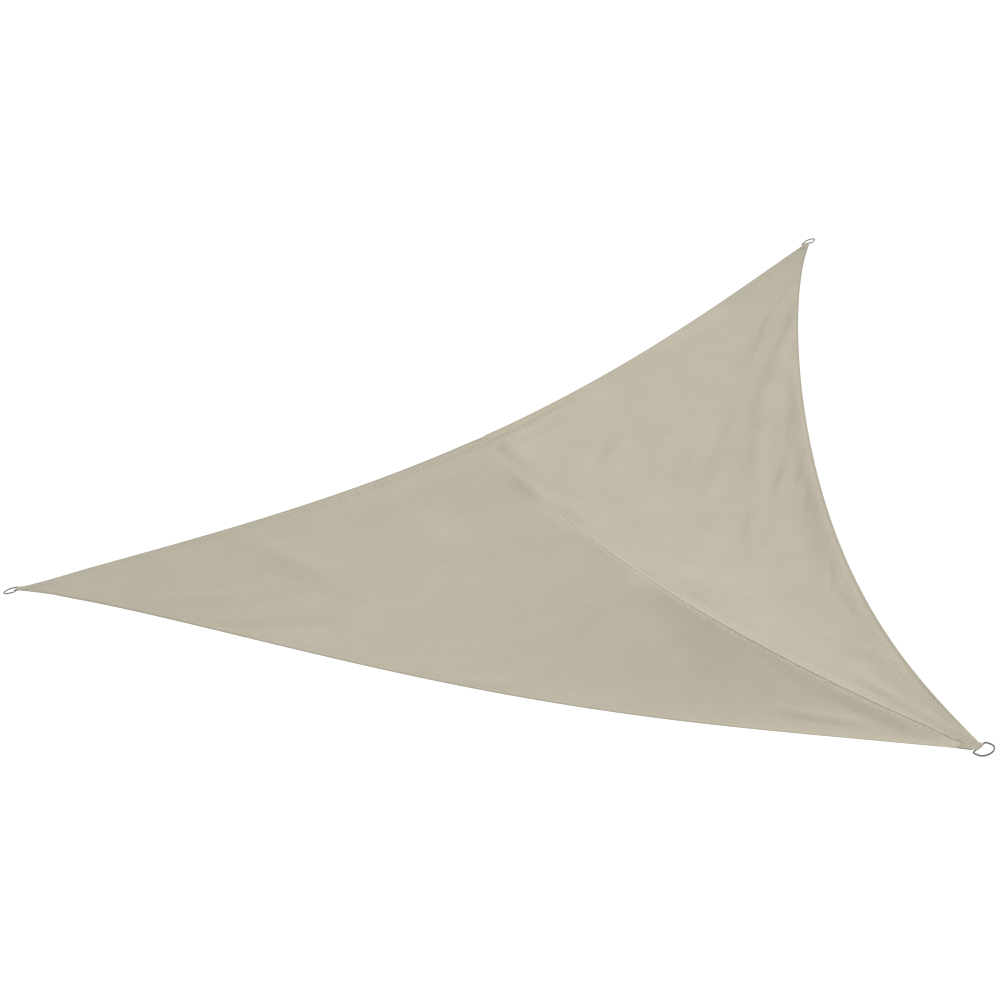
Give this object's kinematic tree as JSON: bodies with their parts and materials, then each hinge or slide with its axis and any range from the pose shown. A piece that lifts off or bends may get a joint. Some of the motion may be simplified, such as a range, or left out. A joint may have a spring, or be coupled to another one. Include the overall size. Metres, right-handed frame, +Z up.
{
  "type": "shade sail",
  "caption": "Triangular shade sail of seamed cloth panels with inward-curved hemmed edges, hanging slack from a steel D-ring in a sewn tab at each corner.",
  "frame": {"origin": "inside of the near corner ring's bow, where a hook bears", "axes": "+X right and +Y away from the front as the sail hangs, +Z up; the left and high corners lie towards -X and +Y"},
  "size_m": [3.0618, 3.482, 1.1095],
  "materials": {
    "left_panel": "matte sand-coloured woven polyester",
    "right_panel": "matte sand-coloured woven polyester",
    "near_tab": "matte sand-coloured woven polyester",
    "left_tab": "matte sand-coloured woven polyester",
    "high_tab": "matte sand-coloured woven polyester",
    "near_ring": "bright stainless steel wire",
    "left_ring": "bright stainless steel wire",
    "high_ring": "bright stainless steel wire"
  },
  "bodies": {
    "root": {"left_panel": "left_panel", "right_panel": "right_panel", "near_tab": "near_tab", "left_tab": "left_tab", "high_tab": "high_tab", "near_ring": "near_ring", "left_ring": "left_ring", "high_ring": "high_ring"}
  },
  "joints": []
}
